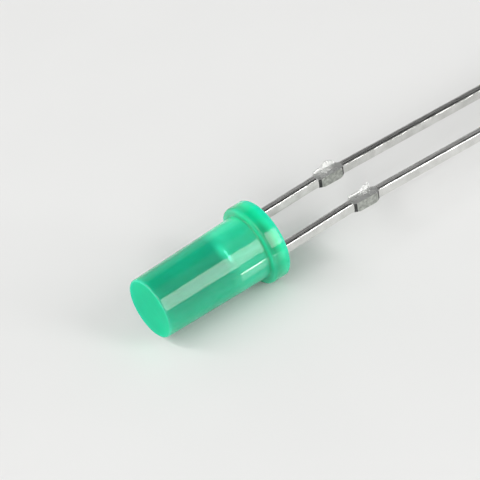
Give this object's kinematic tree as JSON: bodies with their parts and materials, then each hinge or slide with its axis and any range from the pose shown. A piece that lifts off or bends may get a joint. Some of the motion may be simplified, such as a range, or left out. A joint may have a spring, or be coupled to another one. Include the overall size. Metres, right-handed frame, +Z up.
{
  "type": "through hole led",
  "caption": "Small flat-ended diffused green light emitting diode with a flanged lens and long straight tinned leads, lying at rest.",
  "frame": {"origin": "centre of the flange's rear face, where the part seats on a board", "axes": "+X along the lens axis out of the flange's rear face, towards the lead ends; +Y towards the cathode; +Z up, with the part lying at rest"},
  "size_m": [0.0349, 0.0036, 0.0038],
  "materials": {
    "diffused_epoxy": "moulded green diffused epoxy, glossy outside and milky inside",
    "tinned_lead": "bright tin plating over a stamped steel frame",
    "chip": "sawn semiconductor",
    "silver_adhesive": "cured silver-filled adhesive",
    "gold_wire": "drawn gold wire"
  },
  "bodies": {
    "root": {"lens": "diffused_epoxy", "anode_lead": "tinned_lead", "cathode_lead": "tinned_lead", "led_chip": "chip", "chip_adhesive": "silver_adhesive", "bond_wire": "gold_wire"}
  },
  "joints": []
}
